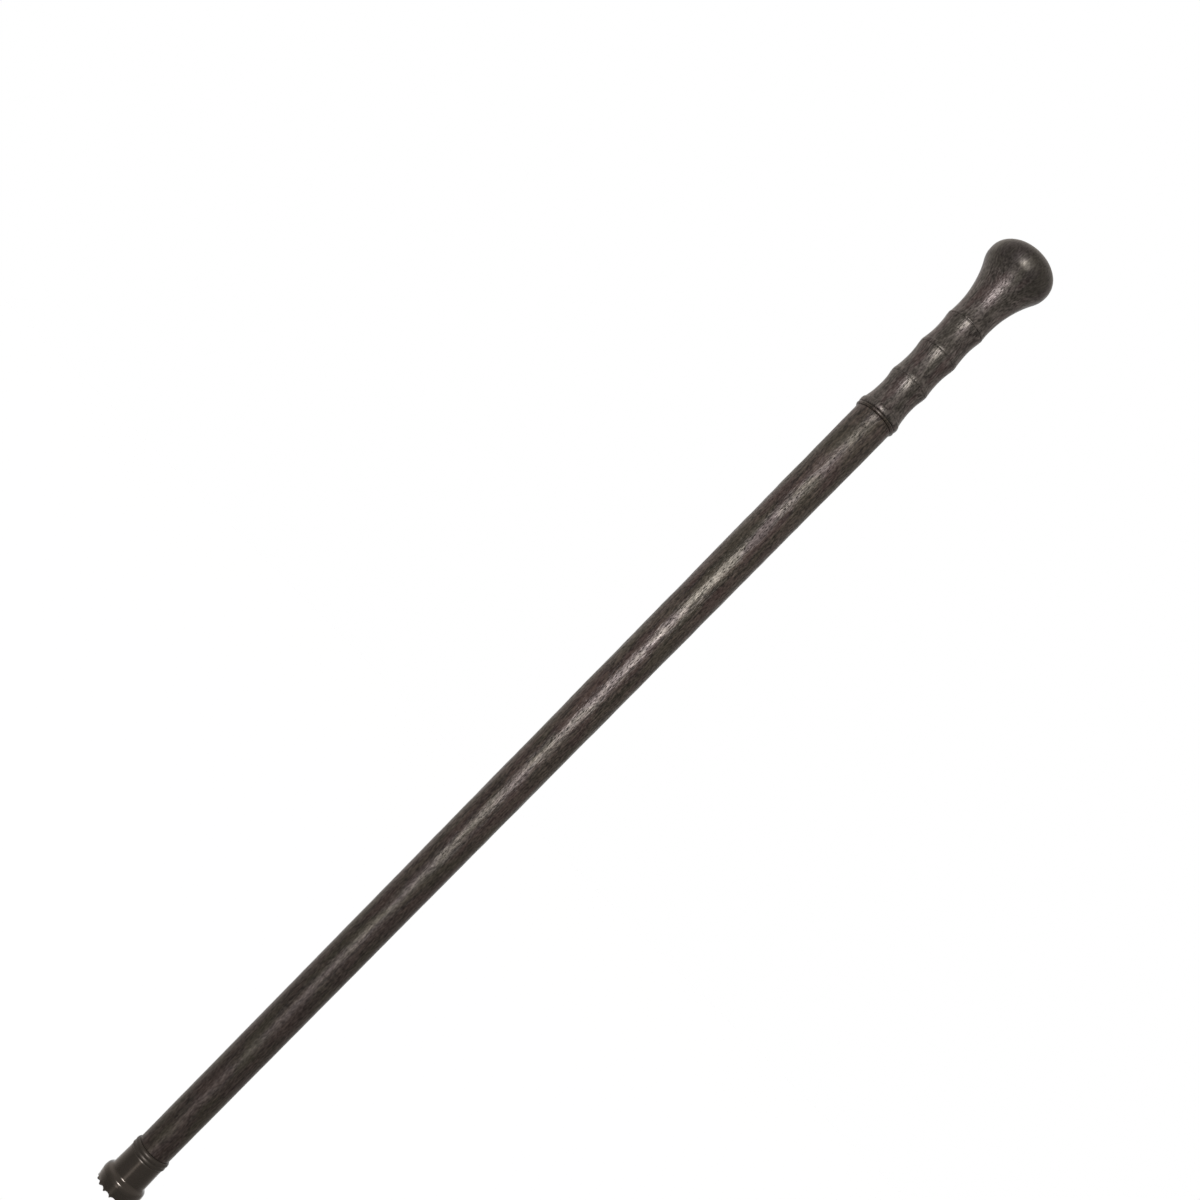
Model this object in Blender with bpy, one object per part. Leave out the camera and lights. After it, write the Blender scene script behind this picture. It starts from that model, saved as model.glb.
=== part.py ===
"""Hiking cane: a turned wooden grip on a tapered wooden shaft, with a rubber ferrule.

A hanger bolt, screwed into the shaft and into a brass insert in the grip, joins the two. Metres, +Z up.
The origin lies on the floor at the centre of the ferrule's sole, and every piece is turned about +Z.
"""

import math
from typing import NamedTuple

import bmesh
import bpy

MM = 0.001

# Clearance between pieces that touch or grip each other on the real cane
FIT_GAP = 0.3 * MM

# Fineness of the turned surfaces
OUTER_SEGMENTS = 32
INNER_SEGMENTS = 24
BEAD_STEPS = 4
ROUNDING_STEPS = 6
HOLLOW_STEPS = 4
FLARE_STEPS = 7
DOME_STEPS = 8
SHARP_ANGLE = math.radians(32)

# Slope of the cone that a drill leaves at the end of its hole
DRILL_TIP_SLOPE = math.tan(math.radians(31))

# Shaft: the taper that shows, the tenon above it and the spigot below it
SHAFT_LENGTH = 724.0 * MM
SHAFT_LOWER_D = 26.0 * MM
SHAFT_UPPER_D = 32.9 * MM
SHAFT_EDGE = 0.5 * MM
TENON_D = 20.0 * MM
TENON_LENGTH = 22.0 * MM
SPIGOT_SHOULDER = 3.5 * MM
SPIGOT_LENGTH = 27.0 * MM
END_CHAMFER = 1.0 * MM

# Spacer ring between shaft and grip
RING_THICKNESS = 2.25 * MM
RING_OVERHANG = 0.8 * MM
RING_ROUNDING = 0.9 * MM

# Collar, the bead round the grip's lower end
COLLAR_HEIGHT = 5.5 * MM
COLLAR_OVERHANG = 1.6 * MM
COLLAR_ROUNDING = 1.0 * MM


class Hollow(NamedTuple):
    """A finger hollow: the rise to its waist, the rise to the ridge above it, and the ridge's bead."""

    to_waist: float
    waist_d: float
    to_ridge: float
    ridge_d: float
    bead_height: float


# Finger hollows, from the collar upwards
LOW_WAIST_RISE = 17.2 * MM
LOW_WAIST_D = 30.4 * MM
LOW_RIDGE_RISE = 10.5 * MM
LOW_RIDGE_D = 32.7 * MM
MIDDLE_WAIST_RISE = 13.6 * MM
MIDDLE_WAIST_D = 30.5 * MM
MIDDLE_RIDGE_RISE = 12.8 * MM
MIDDLE_RIDGE_D = 33.0 * MM
TOP_WAIST_RISE = 14.5 * MM
TOP_WAIST_D = 30.7 * MM
TOP_RIDGE_RISE = 11.3 * MM
TOP_RIDGE_D = 32.8 * MM
RIDGE_BEAD_HEIGHT = 3.3 * MM
TOP_BEAD_HEIGHT = 1.6 * MM
FINGER_HOLLOWS = (
    Hollow(LOW_WAIST_RISE, LOW_WAIST_D, LOW_RIDGE_RISE, LOW_RIDGE_D, RIDGE_BEAD_HEIGHT),
    Hollow(MIDDLE_WAIST_RISE, MIDDLE_WAIST_D, MIDDLE_RIDGE_RISE, MIDDLE_RIDGE_D, RIDGE_BEAD_HEIGHT),
    Hollow(TOP_WAIST_RISE, TOP_WAIST_D, TOP_RIDGE_RISE, TOP_RIDGE_D, TOP_BEAD_HEIGHT),
)
RIDGE_LIP = 0.5 * MM
RIDGE_GROOVE_WIDTH = 0.9 * MM
RIDGE_GROOVE_DEPTH = 0.4 * MM
RIDGE_BEAD_RISE = 0.2 * MM

# Neck and knob
NECK_RISE = 8.4 * MM
NECK_D = 31.9 * MM
FLARE_RADIUS = 94.5 * MM
KNOB_D = 56.1 * MM
KNOB_EDGE_RADIUS = 15.7 * MM
KNOB_DOME_HEIGHT = 18.4 * MM


class Thread(NamedTuple):
    """A screw thread on the hanger bolt."""

    length: float
    pitch: float
    depth: float


# Hanger bolt: a wood thread below, a plain middle and a machine thread above
BOLT_D = 8.0 * MM
WOOD_THREAD_LENGTH = 36.0 * MM
WOOD_THREAD_PITCH = 3.6 * MM
WOOD_THREAD_DEPTH = 1.1 * MM
MACHINE_THREAD_LENGTH = 16.25 * MM
MACHINE_THREAD_PITCH = 1.25 * MM
MACHINE_THREAD_DEPTH = 0.65 * MM
WOOD_THREAD = Thread(WOOD_THREAD_LENGTH, WOOD_THREAD_PITCH, WOOD_THREAD_DEPTH)
MACHINE_THREAD = Thread(MACHINE_THREAD_LENGTH, MACHINE_THREAD_PITCH, MACHINE_THREAD_DEPTH)
BOLT_MIDDLE = 6.0 * MM
BOLT_POINT_LENGTH = 4.0 * MM
BOLT_POINT_D = 1.4 * MM
BOLT_END_CHAMFER = 0.9 * MM
BOLT_HOLE_SPARE = 2.0 * MM
THREAD_SEGMENTS = 12
THREAD_ROWS_PER_TURN = 6

# Threaded insert in the grip: barbed outside, slotted below for the driver that sets it
INSERT_WALL = 1.7 * MM
INSERT_LENGTH = 15.0 * MM
INSERT_BARBS = 5
INSERT_BARB_DEPTH = 0.7 * MM
INSERT_SLOT_WIDTH = 1.6 * MM
INSERT_SLOT_DEPTH = 2.0 * MM

# Ferrule: barrel, two beads round its mouth, and a wider base
SOLE_THICKNESS = 9.2 * MM
BARREL_WALL_STEP = 0.9 * MM
BARREL_SWELL = 0.5 * MM
BARREL_GROOVE_DEPTH = 0.15 * MM
BARREL_GROOVE_HEIGHT = 0.7 * MM
BEAD_FOOT_RISE = 0.25 * MM
BEAD_HEIGHT = 3.0 * MM
BEAD_RISE = 0.2 * MM
BEAD_GAP = 0.3 * MM
RIM_HEIGHT = 3.7 * MM
RIM_RISE = 0.3 * MM
RIM_SLOPE_HEIGHT = 1.5 * MM
RIM_SLOPE_DEPTH = 0.9 * MM
BASE_OVERHANG = 3.25 * MM
BASE_HEIGHT = 8.2 * MM
BASE_SHOULDER_RADIUS = 3.1 * MM
BASE_SHOULDER_SWEEP = math.radians(80)
BARREL_FILLET = 0.7 * MM
BASE_TAPER = 1.5 * MM
BASE_FOOT_RADIUS = 0.8 * MM

# Tread in the sole: a centre pad, then two rings of cleats
PAD_RADIUS = 4.6 * MM
TREAD_CHANNEL = 1.3 * MM
TREAD_CHANNEL_DEPTH = 2.0 * MM
INNER_CLEAT_LENGTH = 3.4 * MM
INNER_CLEATS = 8
OUTER_CLEATS = 16
NOTCH_DEPTH = 1.8 * MM
NOTCH_END = 0.4 * MM
NOTCH_SHARE = 0.64
NOTCH_SIDES = 10
CLEAT_PHASE = math.radians(5.2)

# Steel disc on the floor of the ferrule's socket, which keeps the spigot from cutting through
DISC_THICKNESS = 1.5 * MM
DISC_EDGE = 0.3 * MM

# Heights and diameters that follow from the sizes above
SPIGOT_D = SHAFT_LOWER_D - 2 * SPIGOT_SHOULDER
SOCKET_D = SPIGOT_D + 2 * FIT_GAP
DISC_Z = SOLE_THICKNESS + FIT_GAP
SPIGOT_END_Z = DISC_Z + DISC_THICKNESS + FIT_GAP
SHAFT_BASE_Z = SPIGOT_END_Z + SPIGOT_LENGTH
SHAFT_TOP_Z = SHAFT_BASE_Z + SHAFT_LENGTH
TENON_TOP_Z = SHAFT_TOP_Z + TENON_LENGTH
FERRULE_LENGTH = SHAFT_BASE_Z - FIT_GAP
BARREL_TOP_D = SHAFT_LOWER_D + 2 * BARREL_WALL_STEP
BASE_D = BARREL_TOP_D + 2 * BASE_OVERHANG
RING_Z = SHAFT_TOP_Z + FIT_GAP
RING_D = SHAFT_UPPER_D + 2 * RING_OVERHANG
COLLAR_D = SHAFT_UPPER_D + 2 * COLLAR_OVERHANG
GRIP_Z = RING_Z + RING_THICKNESS + FIT_GAP
TENON_SOCKET_D = TENON_D + 2 * FIT_GAP
TENON_SOCKET_TOP_Z = TENON_TOP_Z + FIT_GAP
BOLT_BORE_D = BOLT_D + 2 * FIT_GAP
INSERT_D = BOLT_BORE_D + 2 * INSERT_WALL
INSERT_Z = TENON_SOCKET_TOP_Z + FIT_GAP
INSERT_TOP_Z = INSERT_Z + INSERT_LENGTH
WOOD_THREAD_TOP_Z = INSERT_Z - BOLT_MIDDLE
BOLT_TIP_Z = WOOD_THREAD_TOP_Z - WOOD_THREAD.length
BOLT_END_Z = INSERT_Z + MACHINE_THREAD.length + BOLT_END_CHAMFER


class Finish(NamedTuple):
    """A surface: its linear colour, its roughness and whether it is metal."""

    colour: tuple
    roughness: float
    metallic: float


DARK_WOOD = Finish((0.042, 0.033, 0.029), 0.45, 0.0)
BLACK_RUBBER = Finish((0.026, 0.024, 0.023), 0.4, 0.0)
BRASS = Finish((0.56, 0.37, 0.14), 0.3, 1.0)
ZINC_STEEL = Finish((0.50, 0.51, 0.53), 0.35, 1.0)


def clear_scene():
    """Remove every object that the scene starts with."""
    for item in list(bpy.data.objects):
        bpy.data.objects.remove(item, do_unlink=True)


def make_material(name, finish):
    """Return a Principled material with the finish."""
    material = bpy.data.materials.new(name)
    material.use_nodes = True
    shader = material.node_tree.nodes["Principled BSDF"]
    shader.inputs["Base Color"].default_value = (*finish.colour, 1.0)
    shader.inputs["Roughness"].default_value = finish.roughness
    shader.inputs["Metallic"].default_value = finish.metallic
    return material


def make_body(name, height):
    """Return an empty on the cane's axis, the parent of the pieces that move together."""
    body = bpy.data.objects.new(name, None)
    bpy.context.collection.objects.link(body)
    body.location.z = height
    return body


def make_mesh(name, bm):
    """Close a bmesh's seams, face it outwards and return it as a mesh."""
    bmesh.ops.remove_doubles(bm, verts=bm.verts, dist=0.0001 * MM)
    bmesh.ops.recalc_face_normals(bm, faces=bm.faces)
    mesh = bpy.data.meshes.new(name)
    bm.to_mesh(mesh)
    bm.free()
    return mesh


def place(name, bm, material, height, body):
    """Make a bmesh, whose zero lies at the given height, a smooth piece of the body."""
    mesh = make_mesh(name, bm)
    mesh.shade_smooth()
    mesh.set_sharp_from_angle(angle=SHARP_ANGLE)
    mesh.materials.append(material)
    piece = bpy.data.objects.new(name, mesh)
    bpy.context.collection.objects.link(piece)
    piece.parent = body
    piece.location.z = height - body.location.z
    return piece


def cut(piece, name, bm):
    """Cut a bmesh, in the piece's own coordinates, out of the piece."""
    cutter = bpy.data.objects.new(name, make_mesh(name, bm))
    bpy.context.collection.objects.link(cutter)
    cutter.parent = piece
    cutter.hide_render = True
    cutter.display_type = "WIRE"
    modifier = piece.modifiers.new(name, "BOOLEAN")
    modifier.operation = "DIFFERENCE"
    modifier.object = cutter


def turn(outline, segments, closed=False):
    """Spin an outline of (radius, height) points about the axis; an open one starts and ends on it."""
    bm = bmesh.new()
    turn_into(bm, outline, segments, closed)
    return bm


def turn_into(bm, outline, segments, closed):
    """Spin one more outline into a bmesh."""
    verts = [bm.verts.new((radius, 0.0, height)) for radius, height in outline]
    edges = [bm.edges.new(pair) for pair in zip(verts, verts[1:])]
    if closed:
        edges.append(bm.edges.new((verts[-1], verts[0])))
    bmesh.ops.spin(
        bm,
        geom=verts + edges,
        cent=(0, 0, 0),
        axis=(0, 0, 1),
        angle=2 * math.pi,
        steps=segments,
        use_merge=True,
    )


def arc(centre, radius, start, end, steps):
    """Points on a circle from one angle to another, in radians."""
    angles = [start + (end - start) * k / steps for k in range(steps + 1)]
    return [(centre[0] + radius * math.cos(a), centre[1] + radius * math.sin(a)) for a in angles]


def bead(radius, low, height, rise, steps):
    """Points up a half ellipse that stands out by rise from a radius."""
    angles = [math.pi * (k / steps - 0.5) for k in range(steps + 1)]
    return [(radius + rise * math.cos(a), low + height * (1 + math.sin(a)) / 2) for a in angles]


def parabola(vertex, end, steps):
    """Points from the vertex of an upright parabola, left out, to its end."""
    shares = [k / steps for k in range(1, steps + 1)]
    return [(vertex[0] + (end[0] - vertex[0]) * s**2, vertex[1] + (end[1] - vertex[1]) * s) for s in shares]


def down_to(vertex, start, steps):
    """Points on a parabola from a start, left out, to the vertex."""
    return parabola(vertex, start, steps)[-2::-1] + [vertex]


def grip_bores():
    """The drilled hole, the insert's bore and the tenon's socket, from the axis to the lower face."""
    hole = BOLT_BORE_D / 2
    hole_top = max(BOLT_END_Z, INSERT_TOP_Z) + BOLT_HOLE_SPARE - GRIP_Z
    insert_bore = INSERT_D / 2 + FIT_GAP
    insert_top = INSERT_TOP_Z + FIT_GAP - GRIP_Z
    socket = TENON_SOCKET_D / 2
    socket_top = TENON_SOCKET_TOP_Z - GRIP_Z
    return [
        (0.0, hole_top + hole * DRILL_TIP_SLOPE),
        (hole, hole_top),
        (hole, insert_top),
        (insert_bore, insert_top),
        (insert_bore, socket_top),
        (socket, socket_top),
        (socket, END_CHAMFER),
        (socket + END_CHAMFER, 0.0),
    ]


def ridge(radius, low, bead_height):
    """A ridge between hollows: a lip, a fine groove and a bead, above the point where the hollow ends."""
    groove = low + RIDGE_LIP
    points = [(radius, groove), (radius - RIDGE_GROOVE_DEPTH, groove + RIDGE_GROOVE_WIDTH / 2)]
    return points + bead(radius, groove + RIDGE_GROOVE_WIDTH, bead_height, RIDGE_BEAD_RISE, BEAD_STEPS)


def knob(neck):
    """The flare, a hollow arc from the neck, run into the knob's round edge and its elliptic dome."""
    reach = FLARE_RADIUS + KNOB_EDGE_RADIUS
    edge = KNOB_D / 2 - KNOB_EDGE_RADIUS
    across = neck[0] + FLARE_RADIUS - edge
    tangent = math.acos(across / reach)
    widest = neck[1] + reach * math.sin(tangent)
    flare = arc((neck[0] + FLARE_RADIUS, neck[1]), FLARE_RADIUS, math.pi, math.pi - tangent, FLARE_STEPS)
    rounding = arc((edge, widest), KNOB_EDGE_RADIUS, -tangent, 0.0, BEAD_STEPS)
    quarter = [math.pi / 2 * k / DOME_STEPS for k in range(1, DOME_STEPS)]
    dome = [(KNOB_D / 2 * math.cos(a), widest + KNOB_DOME_HEIGHT * math.sin(a)) for a in quarter]
    return flare[1:] + rounding[1:] + dome + [(0.0, widest + KNOB_DOME_HEIGHT)]


def grip_outside():
    """The grip's outside from the collar to the crown, in heights above its lower face."""
    points = bead(COLLAR_D / 2 - COLLAR_ROUNDING, 0.0, COLLAR_HEIGHT, COLLAR_ROUNDING, ROUNDING_STEPS)
    for hollow in FINGER_HOLLOWS:
        start = points[-1]
        waist = (hollow.waist_d / 2, start[1] + hollow.to_waist)
        top = (hollow.ridge_d / 2, waist[1] + hollow.to_ridge)
        points += down_to(waist, start, HOLLOW_STEPS)
        points += parabola(waist, top, HOLLOW_STEPS)
        points += ridge(*top, hollow.bead_height)
    neck = (NECK_D / 2, points[-1][1] + NECK_RISE)
    points += down_to(neck, points[-1], HOLLOW_STEPS)
    return points + knob(neck)


def make_grip(body):
    """The turned handle, bored from below for tenon, insert and bolt."""
    wood = make_material("grip_wood", DARK_WOOD)
    place("grip", turn(grip_bores() + grip_outside(), OUTER_SEGMENTS), wood, GRIP_Z, body)


def make_spacer_ring(body):
    """The thin ring round the tenon that closes the joint between grip and shaft."""
    wood = make_material("ring_wood", DARK_WOOD)
    inner = TENON_SOCKET_D / 2
    outside = bead(RING_D / 2 - RING_ROUNDING, 0.0, RING_THICKNESS, RING_ROUNDING, ROUNDING_STEPS)
    outline = [(inner, 0.0)] + outside + [(inner, RING_THICKNESS)]
    place("spacer_ring", turn(outline, OUTER_SEGMENTS, closed=True), wood, RING_Z, body)


def make_shaft(body):
    """The tapered shaft, bored above for the bolt, in heights above its lower shoulder."""
    wood = make_material("shaft_wood", DARK_WOOD)
    lower, upper = SHAFT_LOWER_D / 2, SHAFT_UPPER_D / 2
    tenon, spigot, bore = TENON_D / 2, SPIGOT_D / 2, BOLT_BORE_D / 2
    tenon_top = SHAFT_LENGTH + TENON_LENGTH
    bore_floor = BOLT_TIP_Z - BOLT_HOLE_SPARE - SHAFT_BASE_Z
    outline = [
        (0.0, -SPIGOT_LENGTH),
        (spigot - END_CHAMFER, -SPIGOT_LENGTH),
        (spigot, END_CHAMFER - SPIGOT_LENGTH),
        (spigot, 0.0),
        (lower - SHAFT_EDGE, 0.0),
        (lower, SHAFT_EDGE),
        (upper, SHAFT_LENGTH - SHAFT_EDGE),
        (upper - SHAFT_EDGE, SHAFT_LENGTH),
        (tenon, SHAFT_LENGTH),
        (tenon, tenon_top - END_CHAMFER),
        (tenon - END_CHAMFER, tenon_top),
        (bore, tenon_top),
        (bore, bore_floor),
        (0.0, bore_floor - bore * DRILL_TIP_SLOPE),
    ]
    place("shaft", turn(outline, OUTER_SEGMENTS), wood, SHAFT_BASE_Z, body)


def bolt_ring(bm, height, radius, depth, pitch):
    """One ring of the bolt: its radius dips by a wave that goes round once while it climbs one pitch."""
    ring = []
    for k in range(THREAD_SEGMENTS):
        angle = 2 * math.pi * k / THREAD_SEGMENTS
        dipped = radius - depth * (1 - math.cos(2 * math.pi * height / pitch - angle)) / 2
        ring.append(bm.verts.new((dipped * math.cos(angle), dipped * math.sin(angle), height)))
    return ring


def thread_rings(bm, thread, start):
    """The rings up a thread, whose depth fades in and out over one pitch at its ends."""
    count = math.ceil(thread.length / thread.pitch * THREAD_ROWS_PER_TURN)
    rings = []
    for k in range(count + 1):
        along = thread.length * k / count
        fade = min(along, thread.length - along, thread.pitch) / thread.pitch
        rings.append(bolt_ring(bm, start + along, BOLT_D / 2, thread.depth * fade, thread.pitch))
    return rings


def make_hanger_bolt(body):
    """The double-ended bolt, in heights above its tip."""
    steel = make_material("bolt_steel", ZINC_STEEL)
    wood_end = WOOD_THREAD.length
    machine_start = wood_end + BOLT_MIDDLE
    end = BOLT_END_Z - BOLT_TIP_Z
    bm = bmesh.new()
    rings = [bolt_ring(bm, 0.0, BOLT_POINT_D / 2, 0.0, WOOD_THREAD.pitch)]
    pointed = WOOD_THREAD._replace(length=wood_end - BOLT_POINT_LENGTH)
    rings += thread_rings(bm, pointed, BOLT_POINT_LENGTH)
    rings += thread_rings(bm, MACHINE_THREAD, machine_start)
    rings.append(bolt_ring(bm, end, BOLT_D / 2 - BOLT_END_CHAMFER, 0.0, MACHINE_THREAD.pitch))
    for low, high in zip(rings, rings[1:]):
        for k in range(THREAD_SEGMENTS):
            bm.faces.new((low[k - 1], low[k], high[k], high[k - 1]))
    bm.faces.new(rings[0])
    bm.faces.new(rings[-1])
    place("hanger_bolt", bm, steel, BOLT_TIP_Z, body)


def make_grip_insert(body):
    """The sleeve in the grip that the bolt's machine thread screws into."""
    brass = make_material("insert_brass", BRASS)
    outer, inner = INSERT_D / 2, BOLT_BORE_D / 2
    step = INSERT_LENGTH / (INSERT_BARBS + 1)
    outline = [(inner, 0.0), (outer, 0.0)]
    for k in range(1, INSERT_BARBS + 1):
        outline += [(outer - INSERT_BARB_DEPTH, k * step), (outer, k * step)]
    outline += [(outer - INSERT_BARB_DEPTH, INSERT_LENGTH), (inner, INSERT_LENGTH)]
    insert = place("grip_insert", turn(outline, INNER_SEGMENTS, closed=True), brass, INSERT_Z, body)
    slot = bmesh.new()
    bmesh.ops.create_cube(slot, size=1.0)
    bmesh.ops.scale(slot, verts=slot.verts, vec=(2 * INSERT_D, INSERT_SLOT_WIDTH, 2 * INSERT_SLOT_DEPTH))
    cut(insert, "driver_slot", slot)


def ferrule_outside():
    """The ferrule's outside from the centre of its sole to its mouth, in heights above the floor."""
    barrel = BARREL_TOP_D / 2
    base = BASE_D / 2
    foot = base - BASE_TAPER - BASE_FOOT_RADIUS
    rim_low = FERRULE_LENGTH - RIM_HEIGHT
    bead_low = rim_low - BEAD_GAP - BEAD_HEIGHT
    barrel_end = bead_low - BARREL_GROOVE_HEIGHT
    groove = barrel - BARREL_GROOVE_DEPTH
    bead_foot = barrel + BEAD_FOOT_RISE
    rim = bead_foot + RIM_RISE
    points = [(0.0, 0.0)]
    points += arc((foot, BASE_FOOT_RADIUS), BASE_FOOT_RADIUS, -math.pi / 2, 0.0, BEAD_STEPS)
    shoulder = (base - BASE_SHOULDER_RADIUS, BASE_HEIGHT)
    points += arc(shoulder, BASE_SHOULDER_RADIUS, 0.0, BASE_SHOULDER_SWEEP, BEAD_STEPS)
    barrel_start = BASE_HEIGHT + BASE_SHOULDER_RADIUS + BARREL_FILLET
    points += [(barrel + BARREL_SWELL, barrel_start), (barrel, barrel_end)]
    points += [(groove, bead_low - BARREL_GROOVE_HEIGHT / 2), (groove, bead_low)]
    points += bead(bead_foot, bead_low, BEAD_HEIGHT, BEAD_RISE, BEAD_STEPS)
    points += [(bead_foot, rim_low), (rim, rim_low + RIM_RISE), (rim, FERRULE_LENGTH - RIM_SLOPE_HEIGHT)]
    points.append((rim - RIM_SLOPE_DEPTH, FERRULE_LENGTH))
    return points


def ferrule_socket():
    """The socket for the spigot, from the ferrule's mouth to the axis."""
    socket = SOCKET_D / 2
    return [
        (socket + END_CHAMFER / 2, FERRULE_LENGTH),
        (socket, FERRULE_LENGTH - END_CHAMFER / 2),
        (socket, SOLE_THICKNESS),
        (0.0, SOLE_THICKNESS),
    ]


def add_notch(bm, inner, outer, angle, half_angle):
    """A radial notch of half-round section that widens outwards, as a closed cutter."""
    loops = []
    for radius in (inner, outer):
        half_width = radius * math.tan(half_angle)
        loop = []
        for k in range(NOTCH_SIDES):
            turned = 2 * math.pi * (k + 0.5) / NOTCH_SIDES
            across = half_width * math.cos(turned)
            x = radius * math.cos(angle) - across * math.sin(angle)
            y = radius * math.sin(angle) + across * math.cos(angle)
            loop.append(bm.verts.new((x, y, NOTCH_DEPTH * math.sin(turned))))
        loops.append(loop)
    for k in range(NOTCH_SIDES):
        bm.faces.new((loops[0][k - 1], loops[0][k], loops[1][k], loops[1][k - 1]))
    for loop in loops:
        bm.faces.new(loop)


def cut_tread(ferrule):
    """Cut the notches that part two rings of rubber into cleats, then the round channels beside the rings."""
    outer_channel = PAD_RADIUS + TREAD_CHANNEL + INNER_CLEAT_LENGTH
    rings = (
        (INNER_CLEATS, PAD_RADIUS + NOTCH_END, outer_channel + NOTCH_END),
        (OUTER_CLEATS, outer_channel + TREAD_CHANNEL - NOTCH_END, BASE_D),
    )
    notches = bmesh.new()
    for count, inner, outer in rings:
        for k in range(count):
            angle = 2 * math.pi * (k + 0.5) / count + CLEAT_PHASE
            add_notch(notches, inner, outer, angle, math.pi / count * NOTCH_SHARE)
    cut(ferrule, "tread_notches", notches)
    channels = bmesh.new()
    for inner in (PAD_RADIUS, outer_channel):
        outer = inner + TREAD_CHANNEL
        deep = TREAD_CHANNEL_DEPTH
        outline = [(inner, -deep), (outer, -deep), (outer, deep), (inner, deep)]
        turn_into(channels, outline, INNER_SEGMENTS, True)
    cut(ferrule, "tread_channels", channels)


def make_ferrule(body):
    """The moulded rubber foot."""
    rubber = make_material("ferrule_rubber", BLACK_RUBBER)
    ferrule = place("ferrule", turn(ferrule_outside() + ferrule_socket(), OUTER_SEGMENTS), rubber, 0.0, body)
    cut_tread(ferrule)


def make_ferrule_disc(body):
    """The steel disc under the spigot."""
    steel = make_material("disc_steel", ZINC_STEEL)
    radius = SPIGOT_D / 2
    outline = [
        (0.0, 0.0),
        (radius - DISC_EDGE, 0.0),
        (radius, DISC_EDGE),
        (radius, DISC_THICKNESS - DISC_EDGE),
        (radius - DISC_EDGE, DISC_THICKNESS),
        (0.0, DISC_THICKNESS),
    ]
    place("ferrule_disc", turn(outline, INNER_SEGMENTS), steel, DISC_Z, body)


def main():
    """Build the cane: what stays together, and the foot that pulls off downwards."""
    clear_scene()
    cane = make_body("cane", SHAFT_BASE_Z)
    make_grip(cane)
    make_grip_insert(cane)
    make_hanger_bolt(cane)
    make_spacer_ring(cane)
    make_shaft(cane)
    foot = make_body("foot", 0.0)
    make_ferrule(foot)
    make_ferrule_disc(foot)


main()
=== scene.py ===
"""Looks of a hiking cane: a turned, dark-stained wooden grip and shaft on a moulded rubber ferrule.

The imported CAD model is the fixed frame. Finer surfaces of nearly the same sizes replace its pieces, apart
from the bolt and the insert, which get finishes. Each sub-assembly is a class whose fields are its sizes in
millimetres. A shape is worked out as whole arrays. +Z runs up the cane's axis, and the camera faces +Y.
"""

import logging
import math
from dataclasses import dataclass
from enum import Enum

import bpy
import numpy as np
from mathutils import Matrix, Vector


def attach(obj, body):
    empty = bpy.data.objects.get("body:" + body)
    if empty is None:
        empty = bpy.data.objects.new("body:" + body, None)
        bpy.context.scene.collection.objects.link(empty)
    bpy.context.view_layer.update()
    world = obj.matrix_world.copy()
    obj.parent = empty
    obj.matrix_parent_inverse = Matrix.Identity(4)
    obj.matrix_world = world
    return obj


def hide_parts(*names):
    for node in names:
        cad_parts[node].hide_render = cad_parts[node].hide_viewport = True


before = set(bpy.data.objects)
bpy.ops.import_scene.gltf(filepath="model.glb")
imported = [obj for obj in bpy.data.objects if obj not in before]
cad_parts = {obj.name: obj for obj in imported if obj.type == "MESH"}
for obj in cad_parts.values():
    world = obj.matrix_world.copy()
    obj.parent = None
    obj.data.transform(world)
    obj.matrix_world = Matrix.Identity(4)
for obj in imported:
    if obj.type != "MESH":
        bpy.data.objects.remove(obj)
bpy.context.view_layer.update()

MM = 0.001
SHARP_ANGLE = 38.0
SAME_POINT = 1e-4
CROWDED = 0.35
log = logging.getLogger("cane")

Tree = bpy.types.NodeTree
Socket = bpy.types.NodeSocket
Material = bpy.types.Material
Piece = bpy.types.Object
Array = np.ndarray
Pair = tuple[float, float]
Triple = tuple[float, float, float]
Ramp = tuple[float, float, float, float]
SOFT_SPAN: Pair = (0.35, 0.65)


class Body(Enum):
    """The CAD bodies that a piece can ride on."""

    CANE = "cane"
    FOOT = "foot"


def linear(hex_colour: str) -> tuple[float, float, float, float]:
    """Turn an sRGB hex colour, six digits after a #, into linear red, green, blue and alpha."""
    channels = (int(hex_colour[k : k + 2], 16) / 255 for k in (1, 3, 5))
    return (*(c / 12.92 if c <= 0.04045 else ((c + 0.055) / 1.055) ** 2.4 for c in channels), 1.0)


def add_node(tree: Tree, kind: str, inputs: dict | None = None, **settings) -> bpy.types.Node:
    """Add a shader node with its settings and links.

    Args:
        tree: the material's or world's node tree.
        kind: the node's type without the leading ShaderNode.
        inputs: for each input's name or number, a value or the output that is linked there.
        settings: the node's own properties.

    Returns:
        The new node.
    """
    node = tree.nodes.new("ShaderNode" + kind)
    for name, value in settings.items():
        setattr(node, name, value)
    for name, value in (inputs or {}).items():
        if isinstance(value, bpy.types.NodeSocket):
            tree.links.new(value, node.inputs[name])
        else:
            node.inputs[name].default_value = value
    return node


def new_material(name: str) -> tuple[Material, Tree]:
    """Make a material with an empty node tree.

    Args:
        name: the material's name.

    Returns:
        The material and its tree.
    """
    material = bpy.data.materials.new(name)
    material.use_nodes = True
    material.node_tree.nodes.clear()
    return material, material.node_tree


def stretched(tree: Tree, across: float, along: float) -> Socket:
    """Object coordinates in which one unit is a given size on the cane.

    Args:
        tree: the node tree.
        across: the size of a unit across the cane, in millimetres.
        along: the size of a unit along the cane, in millimetres.

    Returns:
        The vector output.
    """
    scale = (1 / (across * MM), 1 / (across * MM), 1 / (along * MM))
    place = add_node(tree, "TexCoord").outputs["Object"]
    return add_node(tree, "Mapping", {"Vector": place, "Scale": scale}).outputs["Vector"]


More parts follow.
